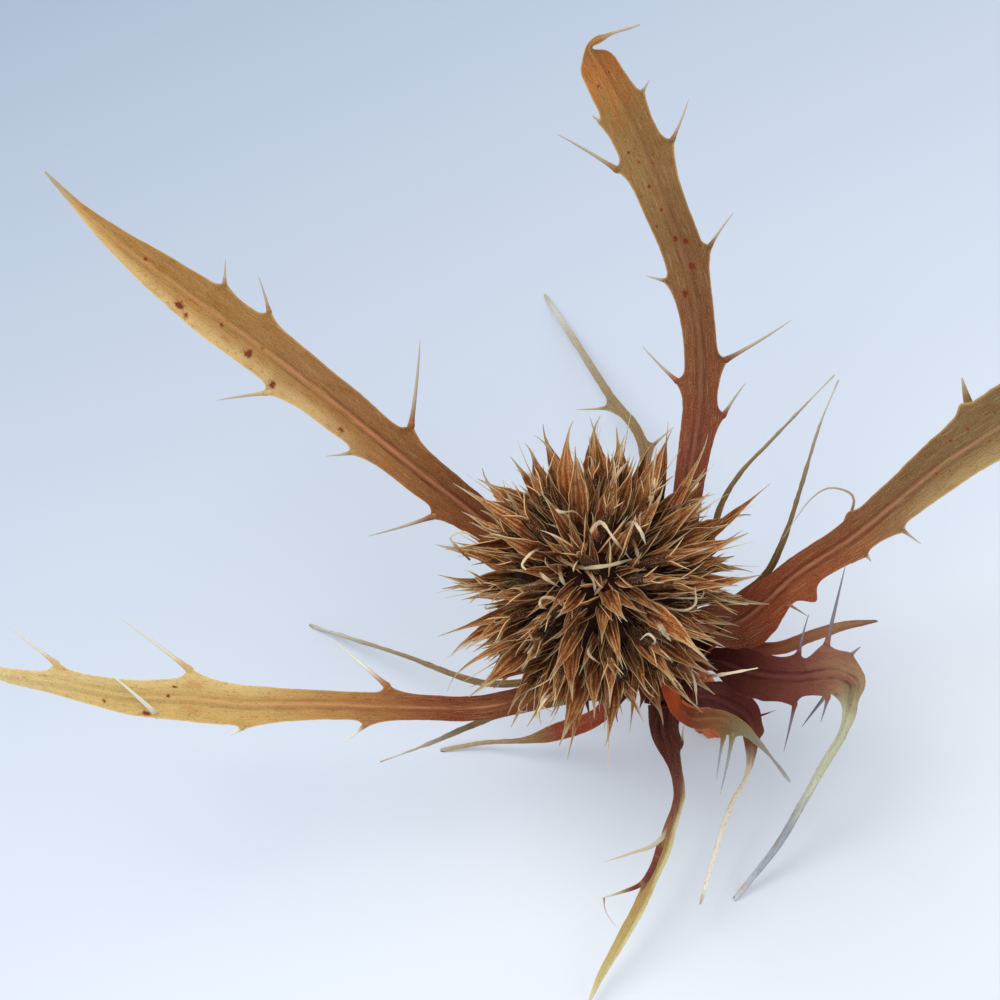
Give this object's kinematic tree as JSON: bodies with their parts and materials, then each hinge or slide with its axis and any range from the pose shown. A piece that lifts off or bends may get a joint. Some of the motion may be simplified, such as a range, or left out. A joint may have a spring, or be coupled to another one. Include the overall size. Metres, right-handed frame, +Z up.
{
  "type": "dried sea holly",
  "caption": "Dried sea holly lying on a surface: a brown spiny flower head on a short cut stalk, in a ruff of long narrow spiny bracts.",
  "frame": {"origin": "centre of the plan outline, on the surface that the flower lies on", "axes": "+Z up; +X to the right and +Y away from a viewer who looks down into the flower head from the side of the long lower bract"},
  "size_m": [0.0857, 0.0609, 0.0423],
  "materials": {
    "bract_tan": "matt dried bract, tan with reddish brown base and pale margin",
    "bract_purple": "matt dried bract, dark purple red",
    "bract_orange": "matt dried bract, orange brown",
    "bract_straw": "matt dried bract, pale greenish straw",
    "floret_brown": "rough woolly dark brown florets with pale tips",
    "stalk_russet": "matt ribbed russet stalk"
  },
  "bodies": {
    "root": {"stem": "stalk_russet", "flower_head": "floret_brown", "bract_upper_left": "bract_tan", "bract_top": "bract_tan", "bract_right": "bract_tan", "bract_left": "bract_tan", "bract_lower_right": "bract_purple", "bract_lower": "bract_purple", "bract_lower_middle": "bract_purple", "bract_front_spike": "bract_orange", "bract_small_right": "bract_orange", "bract_thin_lower_left": "bract_orange", "bract_deep": "bract_straw", "bract_back_left": "bract_straw", "bract_thin_left": "bract_straw", "bract_thin_right": "bract_straw", "bract_thin_far_right": "bract_straw"}
  },
  "joints": []
}
